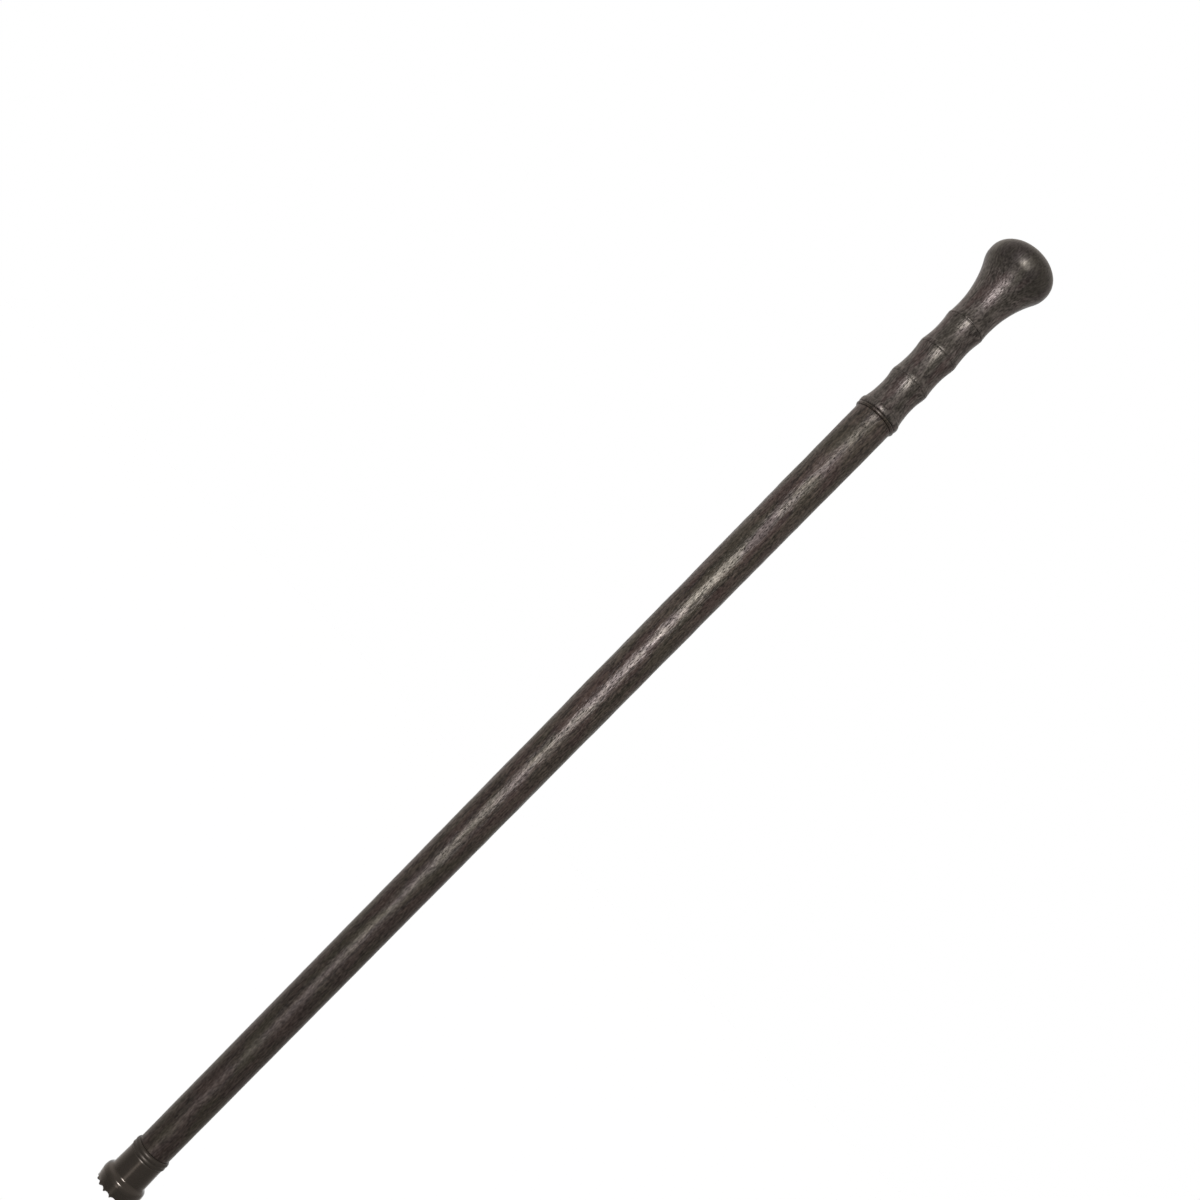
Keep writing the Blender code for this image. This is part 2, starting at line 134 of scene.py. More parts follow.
def noise(tree: Tree, across: float, along: float, detail: float = 2.0) -> Socket:
    """Fractal noise with features of a given size in millimetres across and along the cane."""
    place = stretched(tree, across, along)
    return add_node(tree, "TexNoise", {"Vector": place, "Scale": 1.0, "Detail": detail}).outputs[0]


def ramp(tree: Tree, value: Socket, low: float, high: float, start: float = 0.0, end: float = 1.0) -> Socket:
    """Map a value from low..high to start..end, and hold it there outside."""
    return add_node(tree, "MapRange", {0: value, 1: low, 2: high, 3: start, 4: end}).outputs[0]


def scaled(tree: Tree, share: Socket, start: float, end: float) -> Socket:
    """Map a share from 0..1 to start..end."""
    return ramp(tree, share, 0.0, 1.0, start, end)


def blend(tree: Tree, share: Socket, first: object, second: object) -> Socket:
    """Mix two colours, each a hex text or an output, by a share of the second."""
    first, second = (linear(colour) if isinstance(colour, str) else colour for colour in (first, second))
    return add_node(tree, "Mix", {0: share, 6: first, 7: second}, data_type="RGBA").outputs[2]


def reckon(tree: Tree, operation: str, *values: object) -> Socket:
    """The result of a Math node on numbers or outputs."""
    return add_node(tree, "Math", dict(enumerate(values)), operation=operation).outputs[0]


def times(tree: Tree, first: object, second: object) -> Socket:
    """The product of two numbers or outputs."""
    return reckon(tree, "MULTIPLY", first, second)


def weigh(tree: Tree, value: object, weight: object, rest: object) -> Socket:
    """A value times its weight, plus the rest."""
    return reckon(tree, "MULTIPLY_ADD", value, weight, rest)


def attribute(tree: Tree, name: str) -> Socket:
    """A number that a piece stores for each vertex."""
    return add_node(tree, "Attribute", attribute_name=name).outputs["Fac"]


def bump(tree: Tree, strength: float, depth: float, height: Socket) -> Socket:
    """The normal of a surface raised by a height, whose unit is a depth in millimetres."""
    settings = {"Strength": strength, "Distance": depth * MM, "Height": height}
    return add_node(tree, "Bump", settings).outputs[0]


def surface(tree: Tree, inputs: dict) -> None:
    """End a material in a Principled shader with the given inputs."""
    shader = add_node(tree, "BsdfPrincipled", inputs)
    add_node(tree, "OutputMaterial", {"Surface": shader.outputs[0]})


@dataclass(frozen=True)
class Waves:
    """Smooth seeded unevenness in space.

    Its value is the sum of sines of (k . p + phase), where each wave vector k has a random direction and
    a length of about one turn per size, scaled to a spread of one.
    """

    seed: int
    across: float
    along: float
    count: int = 28

    def at(self, points: Array) -> Array:
        """Values at points in millimetres.

        Args:
            points: an array whose last axis is x, y, z.

        Returns:
            One value for each point.
        """
        random = np.random.default_rng(self.seed)
        turns = random.normal(size=(3, self.count)) / np.array([[self.across], [self.across], [self.along]])
        phases = random.uniform(0, 2 * np.pi, self.count)
        return np.sin(2 * np.pi * points @ turns + phases).sum(axis=-1) * math.sqrt(2 / self.count)


@dataclass(frozen=True)
class Grain:
    """Growth rings of the blank that a piece is turned from, and the relief that they leave on it.

    The rings sway widely, wander a little and have a skewed section. Sizes are (across, along) in
    millimetres.
    """

    pith: Pair
    seed: int
    ring_width: float = 1.7
    sway: float = 0.8
    sway_size: Pair = (45.0, 150.0)
    wander_share: float = 0.3
    wander_size: Pair = (9.0, 42.0)
    skew: float = 0.6
    ring_relief: float = 0.03
    ripple_relief: float = 0.05
    ripple_size: Pair = (13.0, 48.0)
    quick_share: float = 0.6
    quick_size: Pair = (5.0, 17.0)

    def late(self, points: Array) -> Array:
        """Share of hard latewood, 0 to 1: a skewed sine of the distance from the pith, which sways.

        Args:
            points: an array whose last axis is x, y, z in millimetres.

        Returns:
            One share for each point.
        """
        distance = np.hypot(points[..., 0] - self.pith[0], points[..., 1] - self.pith[1])
        distance = distance + self.sway * Waves(self.seed, *self.sway_size).at(points)
        wander = Waves(self.seed + 1, *self.wander_size).at(points)
        turn = 2 * np.pi * (distance + self.wander_share * self.sway * wander) / self.ring_width
        return 0.5 + 0.5 * np.sin(turn + self.skew * np.sin(turn))

    def relief(self, points: Array) -> Array:
        """Height of the surface in millimetres: hard rings stand proud, on slow and quick ripples of sanding.

        Args:
            points: an array whose last axis is x, y, z in millimetres.

        Returns:
            One height for each point.
        """
        rings = self.ring_relief * (self.late(points) - 0.5)
        slow = Waves(self.seed + 2, *self.ripple_size).at(points)
        quick = Waves(self.seed + 3, *self.quick_size).at(points)
        return rings + self.ripple_relief * (slow + self.quick_share * quick)


def arc(centre: Pair, radius: float, start: float, end: float, steps: int) -> Array:
    """Points on a circle, centre + radius (cos a, sin a), from one angle in degrees to another."""
    angle = np.radians(np.linspace(start, end, steps + 1))
    return np.stack([centre[0] + radius * np.cos(angle), centre[1] + radius * np.sin(angle)], axis=-1)


def bead(radius: float, low: float, height: float, rise: float, steps: int) -> Array:
    """Points up a half ellipse that stands out by a rise from a radius: radius + rise cos a."""
    angle = np.linspace(-np.pi / 2, np.pi / 2, steps + 1)
    return np.stack([radius + rise * np.cos(angle), low + height * (1 + np.sin(angle)) / 2], axis=-1)


def bend(vertex: Pair, end: Pair, steps: int) -> Array:
    """Points on an upright parabola: the radius leaves its vertex by the square of the share of height.

    Args:
        vertex: the (radius, height) where it stands upright.
        end: the (radius, height) of its other end.
        steps: how many steps it has.

    Returns:
        (radius, height) points.
    """
    share = np.linspace(0, 1, steps + 1)
    radius = vertex[0] + (end[0] - vertex[0]) * share**2
    return np.stack([radius, vertex[1] + (end[1] - vertex[1]) * share], axis=-1)


def chain(*runs: Array | list) -> Array:
    """Join runs of (radius, height) points end to end, without the points that repeat.

    Args:
        runs: arrays or lists of points.

    Returns:
        One outline.
    """
    points = np.concatenate([np.atleast_2d(np.asarray(run, float)) for run in runs])
    apart = np.linalg.norm(np.diff(points, axis=0), axis=1) > SAME_POINT
    return points[np.concatenate([[True], apart])]


def divide(outline: Array | list, spacing: float) -> Array:
    """Add even steps along an outline's long stretches and keep the points that it has.

    An even step that would crowd a point is left out.

    Args:
        outline: (radius, height) points.
        spacing: the longest step, in millimetres.

    Returns:
        The finer outline.
    """
    outline = np.asarray(outline, float)
    steps = np.linalg.norm(np.diff(outline, axis=0), axis=1)
    travelled = np.concatenate([[0.0], np.cumsum(steps)])
    even = np.linspace(0, travelled[-1], int(travelled[-1] / spacing) + 1)
    nearest = np.abs(even[:, None] - travelled[None, :]).min(axis=1)
    stations = np.sort(np.concatenate([travelled, even[nearest > spacing * CROWDED]]))
    return np.stack([np.interp(stations, travelled, outline[:, k]) for k in (0, 1)], axis=-1)


def spin(outline: Array, columns: int) -> Array:
    """Turn an outline about the axis: each point becomes a ring (radius cos a, radius sin a, height).

    Args:
        outline: (radius, height) points.
        columns: how many points a ring has.

    Returns:
        An array of rings, of points, of x, y, z.
    """
    angle = np.linspace(0, 2 * np.pi, columns, endpoint=False)
    radius, height = outline[:, :1], outline[:, 1:]
    return np.stack([radius * np.cos(angle), radius * np.sin(angle), height + 0 * angle], axis=-1)


def outward(outline: Array, columns: int) -> Array:
    """Unit normals of a turned surface: the outline's direction turned a quarter clockwise, then spun.

    Args:
        outline: (radius, height) points, with the solid on their left.
        columns: how many points a ring has.

    Returns:
        An array like the one that spin gives.
    """
    along = np.gradient(outline, axis=0)
    along /= np.linalg.norm(along, axis=1, keepdims=True)
    return spin(np.stack([along[:, 1], -along[:, 0]], axis=-1), columns)


def skin(name: str, rings: Array, looped: bool = False) -> Piece:
    """Make a closed mesh over a stack of rings.

    Args:
        name: the piece's name.
        rings: rings of points in millimetres; unless it is looped, the first and last lie on the axis.
        looped: whether the last ring joins the first.

    Returns:
        The piece, at the origin, in metres.
    """
    rows, columns = rings.shape[:2]
    index = np.arange(rows * columns).reshape(rows, columns)
    if looped:
        points = rings.reshape(-1, 3)
        index = np.concatenate([index, index[:1]])
        ends = []
    else:
        points = np.concatenate([rings[:1, 0], rings[1:-1].reshape(-1, 3), rings[-1:, 0]])
        index = index[1:-1] - columns + 1
        first, last = index[0], index[-1]
        low = np.stack([np.zeros(columns, int), np.roll(first, -1), first], axis=-1)
        high = np.stack([last, np.roll(last, -1), np.full(columns, len(points) - 1)], axis=-1)
        ends = low.tolist() + high.tolist()
    after = np.roll(index, -1, axis=1)
    quads = np.stack([index[:-1], after[:-1], after[1:], index[1:]], axis=-1).reshape(-1, 4)
    mesh = bpy.data.meshes.new(name)
    mesh.from_pydata((points * MM).tolist(), [], quads.tolist() + ends)
    mesh.shade_smooth()
    mesh.set_sharp_from_angle(angle=math.radians(SHARP_ANGLE))
    mesh.validate()
    piece = bpy.data.objects.new(name, mesh)
    bpy.context.scene.collection.objects.link(piece)
    return piece


def positions(piece: Piece) -> Array:
    """The vertices of a piece, in millimetres.

    Args:
        piece: the piece.

    Returns:
        Rows of x, y, z.
    """
    flat = np.empty(3 * len(piece.data.vertices), np.float32)
    piece.data.vertices.foreach_get("co", flat)
    return flat.reshape(-1, 3).astype(float) / MM


def write_attribute(piece: Piece, name: str, values: Array) -> None:
    """Store one value for each vertex of a piece, for its material."""
    layer = piece.data.attributes.new(name, "FLOAT", "POINT")
    layer.data.foreach_set("value", values.astype(np.float32))


def between(low: float, high: float, values: Array) -> Array:
    """Ease from 0 at a low value to 1 at a high one, by 3 t squared minus 2 t cubed."""
    share = np.clip((values - low) / (high - low), 0, 1)
    return share * share * (3 - 2 * share)


@dataclass(frozen=True)
class OiledHardwood:
    """Ring-porous hardwood, stained nearly black, turned, sanded and rubbed with oil.

    The stain is deeper in the soft, open earlywood, so the hard latewood shows as lighter lines. The oil
    gives a satin gloss that breaks up over fibres and pores, which lie along the grain. They are drawn
    about twice as wide as real ones, so that they show.

    Sizes are (across, along) in millimetres, and a feature fades in or out over its span. Tones weigh line,
    fleck and latewood; contrast and pallor are (by open grain, always); heights are of line, fleck and
    patch; gloss is the roughness of early and latewood; rougher adds to it for pores, bare and dull wood.
    """

    earlywood: str = "#0f0d0c"
    latewood: str = "#3f3731"
    red_stain: str = "#2c1e1c"
    green_stain: str = "#201f18"
    # pores are drawn near black: partly the stain that fills them, partly painted shade inside the holes
    pore_stain_and_shade: str = "#080706"
    bare_wood: str = "#5c4a3a"
    reflections: tuple[str, str] = ("#fff4e6", "#fff0ee")
    line: Pair = (1.5, 28.0)
    fleck: Pair = (1.05, 3.2)
    pore: Pair = (1.0, 3.6)
    patch: Pair = (3.6, 13.0)
    stain: Pair = (11.0, 50.0)
    fleck_detail: float = 3.0
    line_span: Pair = (0.36, 0.64)
    fleck_span: Pair = (0.34, 0.66)
    pore_span: Pair = (0.16, 0.36)
    red_span: Pair = (0.56, 0.7)
    green_span: Pair = (0.42, 0.56)
    reflection_span: Pair = (0.44, 0.66)
    light_span: Pair = (-0.3, 0.6)
    late_pores: float = 0.45
    patch_shift: float = 0.12
    stain_share: float = 0.5
    tones: Triple = (0.3, 0.42, 0.32)
    middle_tone: float = 0.5
    contrast: Pair = (1.28, 0.1)
    # pallor draws the wood darker where its grain is closed: towards the shaft's foot and over the knob
    pallor: Pair = (0.24, -0.24)
    pore_sheen: Pair = (0.5, 0.22)
    fleck_sheen: Pair = (0.6, 1.4)
    gloss: Pair = (0.41, 0.33)
    rougher: Triple = (0.2, 0.25, 0.1)
    heights: Triple = (0.35, 0.45, 0.5)
    pore_depth: float = 0.8
    relief: float = 0.1

    def make(self, name: str) -> Material:
        """Make the material, which reads the attributes late, open, bare and dull of its piece.

        Args:
            name: the material's name.

        Returns:
            The material.
        """
        material, tree = new_material(name)
        late, open_grain, bare, dull = (attribute(tree, kind) for kind in ("late", "open", "bare", "dull"))
        line = ramp(tree, noise(tree, *self.line), *self.line_span)
        fleck = ramp(tree, noise(tree, *self.fleck, self.fleck_detail), *self.fleck_span)
        patch = ramp(tree, noise(tree, *self.patch), *self.fleck_span)
        shift = weigh(tree, patch, self.patch_shift, noise(tree, *self.stain))
        cell = add_node(tree, "TexVoronoi", {"Vector": stretched(tree, *self.pore), "Scale": 1.0})
        deep = ramp(tree, cell.outputs["Distance"], *self.pore_span, 1.0, 0.0)
        hole = times(tree, deep, times(tree, open_grain, scaled(tree, late, 1.0, self.late_pores)))

        line_tone, fleck_tone, late_tone = self.tones
        streak = weigh(tree, line, line_tone, times(tree, fleck, fleck_tone))
        uneven = reckon(tree, "SUBTRACT", weigh(tree, late, late_tone, streak), self.middle_tone)
        contrast = weigh(tree, open_grain, *self.contrast)
        # closed grain comes out darker here, so the wood is darker towards the shaft's foot and over the knob
        pallor = weigh(tree, open_grain, *self.pallor)
        light = ramp(tree, weigh(tree, uneven, contrast, pallor), *self.light_span)

        red = times(tree, ramp(tree, shift, *self.red_span, 0.0, self.stain_share), open_grain)
        green = ramp(tree, shift, *self.green_span, self.stain_share, 0.0)
        reddened = blend(tree, red, blend(tree, light, self.earlywood, self.latewood), self.red_stain)
        # pores blend to near black, partly real stain and partly painted shade inside the holes
        pored = blend(tree, hole, blend(tree, green, reddened, self.green_stain), self.pore_stain_and_shade)
        colour = blend(tree, times(tree, bare, line), pored, self.bare_wood)

        pore_rough, bare_rough, dull_rough = self.rougher
        soft = weigh(tree, hole, pore_rough, scaled(tree, late, *self.gloss))
        rough = weigh(tree, dull, dull_rough, weigh(tree, bare, bare_rough, soft))
        # in pores the specular level drops, which also darkens them like shade inside the holes
        sheen = times(tree, scaled(tree, hole, *self.pore_sheen), scaled(tree, fleck, *self.fleck_sheen))
        tint = blend(tree, ramp(tree, shift, *self.reflection_span), *self.reflections)

        line_height, fleck_height, patch_height = self.heights
        raised = weigh(tree, fleck, fleck_height, times(tree, patch, patch_height))
        raised = times(tree, weigh(tree, line, line_height, raised), open_grain)
        normal = bump(tree, 1.0, self.relief, weigh(tree, hole, -self.pore_depth, raised))
        inputs = {"Base Color": colour, "Roughness": rough, "Normal": normal}
        surface(tree, {**inputs, "Specular Tint": tint, "Specular IOR Level": sheen})
        return material


@dataclass(frozen=True)
class MouldedRubber:
    """Black vulcanised rubber, as it leaves a polished mould, dusty where it meets the ground.

    Its skin is satin, and matt on the band that the mould's unpolished insert leaves round the rim.
    """

    skin: str = "#221f1c"
    dust: str = "#3c3833"
    reflection: str = "#fff1e6"
    satin: Pair = (0.16, 0.23)
    sheen: Pair = (0.5, 0.3)
    dust_roughness: float = 0.4
    matt_roughness: float = 0.2
    grit: float = 0.6
    grit_strength: float = 0.4
    grit_height: float = 0.03
    scuff: float = 2.4
    scuff_detail: float = 4.0

    def make(self, name: str) -> Material:
        """Make the material; grit and scuff are the sizes of its unevenness in millimetres.

        It reads the attributes worn and matt of its piece.

        Args:
            name: the material's name.

        Returns:
            The material.
        """
        material, tree = new_material(name)
        scuffed = ramp(tree, noise(tree, self.scuff, self.scuff, self.scuff_detail), *SOFT_SPAN)
        dusty = times(tree, attribute(tree, "worn"), scuffed)
        matt = attribute(tree, "matt")
        soft = weigh(tree, dusty, self.dust_roughness, scaled(tree, scuffed, *self.satin))
        grit = noise(tree, self.grit, self.grit)
        surface(tree, {
            "Base Color": blend(tree, dusty, self.skin, self.dust),
            "Roughness": weigh(tree, matt, self.matt_roughness, soft),
            "Normal": bump(tree, self.grit_strength, self.grit_height, grit),
            "Specular Tint": linear(self.reflection),
            "Specular IOR Level": scaled(tree, matt, *self.sheen),
        })
        return material


@dataclass(frozen=True)
class WorkedMetal:
    """A metal and how it was worked: zinc plate is cloudy and pale, turned brass has fine tool marks.

    Its roughness goes down by smoother and up by rougher with the clouds.
    """

    face: str
    cloud: str
    roughness: float
    cloud_size: float
    mark_pitch: float
    smoother: float = 0.04
    rougher: float = 0.06
    cloud_detail: float = 3.0
    mark_length: float = 12.0
    mark_strength: float = 0.4
    mark_depth: float = 0.02

    def make(self, name: str) -> Material:
        """Make the material; the tool marks run round the axis, a mark pitch apart in millimetres.

        Args:
            name: the material's name.

        Returns:
            The material.
        """
        material, tree = new_material(name)
        cloud = ramp(tree, noise(tree, self.cloud_size, self.cloud_size, self.cloud_detail), *SOFT_SPAN)
        marks = noise(tree, self.mark_length, self.mark_pitch)
        surface(tree, {
            "Base Color": blend(tree, cloud, self.face, self.cloud),
            "Metallic": 1.0,
            "Roughness": scaled(tree, cloud, self.roughness - self.smoother, self.roughness + self.rougher),
            "Normal": bump(tree, self.mark_strength, self.mark_depth, marks),
        })
        return material


@dataclass(frozen=True)
class Datums:
    """Heights and diameters at which the pieces meet, in millimetres above the floor."""

    gap: float = 0.3
    spigot_end: float = 11.3
    shaft_base: float = 38.3
    shaft_top: float = 762.3
    tenon_top: float = 784.3
    grip_low: float = 765.15
    insert_top: float = 799.9
    bolt_end: float = 802.05
    bolt_hole_floor: float = 740.9
    shaft_lower_d: float = 26.0
    shaft_upper_d: float = 32.9
    tenon_d: float = 20.0
    spigot_d: float = 19.0
    insert_d: float = 12.0
    bolt_bore_d: float = 8.6
    drill_slope: float = 0.6009


def dress(piece: Piece, body: Body, slot: str, material: Material, *nodes: str) -> None:
    """Give a piece its material and body, and hide the CAD nodes that it stands for.

    Args:
        piece: the new piece.
        body: the CAD body that it rides on.
        slot: the name of a material slot; not used.
        material: its finish.
        nodes: the CAD nodes that it replaces.
    """
    piece.data.materials.append(material)
    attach(piece, body.value)
    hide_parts(*nodes)
    piece.data.calc_loop_triangles()
    log.info("%s: %d triangles on %s", piece.name, len(piece.data.loop_triangles), body.value)


@dataclass
class WoodenPiece:
    """A turned wooden piece: what its finish reads from its mesh."""

    datums: Datums
    bare_share: float = 0.9

    def texture(self, piece: Piece, grain: Grain, **shares: Array) -> None:
        """Write the attributes of the wood's finish.

        Args:
            piece: the piece.
            grain: its grain.
            shares: for each vertex, 0 to 1: open for open grain, bare for no oil, dull for a duller finish.
        """
        write_attribute(piece, "late", grain.late(positions(piece)))
        for name, values in shares.items():
            write_attribute(piece, name, values)


@dataclass(frozen=True)
class Hollow:
    """A finger hollow with the ridge above it: the heights up to its waist and on to the ridge."""

    to_waist: float
    waist_d: float
    to_ridge: float
    ridge_d: float
    bead_height: float


@dataclass
class Grip(WoodenPiece):
    """The turned handle: a collar, three finger hollows with beaded ridges, a neck and a round knob.

    Over the knob fade, its grain closes and its finish gets a little duller.
    """

    name: str = "grip_turned"
    collar_height: float = 5.5
    collar_overhang: float = 1.6
    collar_rounding: float = 1.0
    hollows: tuple[Hollow, ...] = (
        Hollow(17.2, 30.4, 10.5, 32.7, 3.3),
        Hollow(13.6, 30.5, 12.8, 33.0, 3.3),
        Hollow(14.5, 30.7, 11.3, 32.8, 1.6),
    )
    lip: float = 0.5
    groove_width: float = 0.9
    groove_depth: float = 0.4
    bead_rise: float = 0.2
    neck_rise: float = 8.4
    neck_d: float = 31.9
    flare_radius: float = 89.4
    knob_d: float = 56.1
    knob_band_radius: float = 24.0
    knob_band_turn: float = 10.0
    knob_edge_radius: float = 16.0
    dome_height: float = 18.4
    dome_fullness: float = 2.12
    dome_points: int = 72
    bolt_clearance: float = 2.0
    socket_chamfer: float = 1.0
    columns: int = 164
    spacing: float = 0.55
    relief_inset: float = 0.12
    relief_wall: float = 2.0
    relief_crown: float = 12.0
    relief_ease: float = 2.0
    bare_wall: float = 1.5
    bare_top: float = 810.0
    knob_fade: Pair = (896.0, 919.0)
    knob_closed: float = 0.92
    knob_dull: float = 0.3
    grain: Grain = Grain(pith=(-30.0, 44.0), seed=41, ring_relief=0.012, ripple_relief=0.025)

    def bores(self) -> Array:
        """The drilled hole, the insert's bore and the tenon's socket, from the axis to the lower face.

        Returns:
            (radius, height) points.
        """
        d = self.datums
        hole, insert, socket = d.bolt_bore_d / 2, d.insert_d / 2 + d.gap, d.tenon_d / 2 + d.gap
        top = d.bolt_end + self.bolt_clearance
        return np.array([
            (0.0, top + hole * d.drill_slope),
            (hole, top),
            (hole, d.insert_top + d.gap),
            (insert, d.insert_top + d.gap),
            (insert, d.tenon_top + d.gap),
            (socket, d.tenon_top + d.gap),
            (socket, d.grip_low + self.socket_chamfer),
            (socket + self.socket_chamfer, d.grip_low),
        ])

    def ridge(self, radius: float, low: float, bead_height: float) -> Array:
        """A ridge between hollows: a lip, a fine round groove and a bead.

        Args:
            radius: its radius.
            low: the height of its lower edge.
            bead_height: how tall its bead is.

        Returns:
            (radius, height) points.
        """
        groove, half = low + self.lip, self.groove_width / 2
        dip = arc((radius, groove + half), half, -90.0, -270.0, 8)
        dip[:, 0] = radius - (radius - dip[:, 0]) * self.groove_depth / half
        crown = bead(radius, groove + self.groove_width, bead_height, self.bead_rise, 10)
        return chain([(radius, low)], dip, crown)

    def knob(self, neck: Pair) -> Array:
        """The flare, a hollow arc from the neck, run into the knob's round edge, a flatter band and the dome.

        The dome is a superellipse: the shares of radius and height, raised to its fullness, add up to 1.

        Args:
            neck: the (radius, height) where the neck is thinnest.

        Returns:
            (radius, height) points.
        """
        band, turn = self.knob_d / 2 - self.knob_band_radius, math.radians(self.knob_band_turn)
        inward = self.knob_band_radius - self.knob_edge_radius
        edge, edge_drop = band + inward * math.cos(turn), inward * math.sin(turn)
        reach = self.flare_radius + self.knob_edge_radius
        tangent = math.acos((neck[0] + self.flare_radius - edge) / reach)
        widest = neck[1] + reach * math.sin(tangent) + edge_drop
        tangent = math.degrees(tangent)
        quarter = np.linspace(0, np.pi / 2, self.dome_points)
        power = 2 / self.dome_fullness
        radius = self.knob_d / 2 * np.clip(np.cos(quarter), 0, 1) ** power
        radius[-1] = 0.0
        return chain(
            arc((neck[0] + self.flare_radius, neck[1]), self.flare_radius, 180.0, 180.0 - tangent, 60),
            arc((edge, widest - edge_drop), self.knob_edge_radius, -tangent, -self.knob_band_turn, 18),
            arc((band, widest), self.knob_band_radius, -self.knob_band_turn, 0.0, 12),
            np.stack([radius, widest + self.dome_height * np.sin(quarter) ** power], axis=-1),
        )

    def outline(self) -> Array:
        """The whole outline: the bores, then the outside from the collar to the crown.

        Returns:
            (radius, height) points.
        """
        d = self.datums
        radius = d.shaft_upper_d / 2 + self.collar_overhang - self.collar_rounding
        runs = [self.bores(), bead(radius, d.grip_low, self.collar_height, self.collar_rounding, 24)]
        for hollow in self.hollows:
            start = runs[-1][-1]
            waist = (hollow.waist_d / 2, start[1] + hollow.to_waist)
            top = (hollow.ridge_d / 2, waist[1] + hollow.to_ridge)
            runs += [bend(waist, start, 24)[::-1], bend(waist, top, 20), self.ridge(*top, hollow.bead_height)]
        neck = (self.neck_d / 2, runs[-1][-1][1] + self.neck_rise)
        runs += [bend(neck, runs[-1][-1], 16)[::-1], self.knob(neck)]
        return divide(chain(*runs), self.spacing)

    def build(self, finish: OiledHardwood) -> None:
        """Make the grip, with the relief of its grain on the outside.

        Args:
            finish: the wood's finish.
        """
        d = self.datums
        outline = self.outline()
        rings = spin(outline, self.columns)
        outer = outline[:, 0] > d.shaft_upper_d / 2 - self.relief_wall
        shown = outer | (outline[:, 1] > d.bolt_end + self.relief_crown)
        eased = between(d.grip_low, d.grip_low + self.relief_ease, outline[:, 1]) * shown
        height = self.grain.relief(rings) - self.relief_inset
        rings = rings + outward(outline, self.columns) * (height * eased[:, None])[..., None]
        piece = skin(self.name, rings)
        place = positions(piece)
        bored = np.hypot(place[:, 0], place[:, 1]) < d.tenon_d / 2 + self.bare_wall
        inside = bored & (place[:, 2] < self.bare_top)
        knob = between(*self.knob_fade, place[:, 2])
        shares = {"open": 1 - self.knob_closed * knob, "dull": self.knob_dull * knob}
        self.texture(piece, self.grain, bare=inside * self.bare_share, **shares)
        dress(piece, Body.CANE, "grip_wood", finish.make("oiled_hardwood_grip"), "grip")


@dataclass
class SpacerRing(WoodenPiece):
    """The thin rounded ring between the grip and the shaft, with hairline glue joints."""

    name: str = "spacer_ring_turned"
    joint: float = 0.03
    overhang: float = 1.3
    rounding: float = 1.2
    columns: int = 256
    spacing: float = 0.8
    open_grain: float = 0.7
    grain: Grain = Grain(pith=(30.0, 22.0), seed=71, ring_width=1.5)

    def build(self, finish: OiledHardwood) -> None:
        """Make the ring.

        Args:
            finish: the wood's finish.
        """
        d = self.datums
        inner, low, top = d.tenon_d / 2 + d.gap, d.shaft_top + self.joint, d.grip_low - self.joint
        outside = bead(d.shaft_upper_d / 2 + self.overhang - self.rounding, low, top - low, self.rounding, 20)
        outline = divide(chain([(inner, low)], outside, [(inner, top)]), self.spacing)
        piece = skin(self.name, spin(outline, self.columns), looped=True)
        self.texture(piece, self.grain, open=np.full(len(piece.data.vertices), self.open_grain))
        dress(piece, Body.CANE, "ring_wood", finish.make("oiled_hardwood_ring"), "spacer_ring")


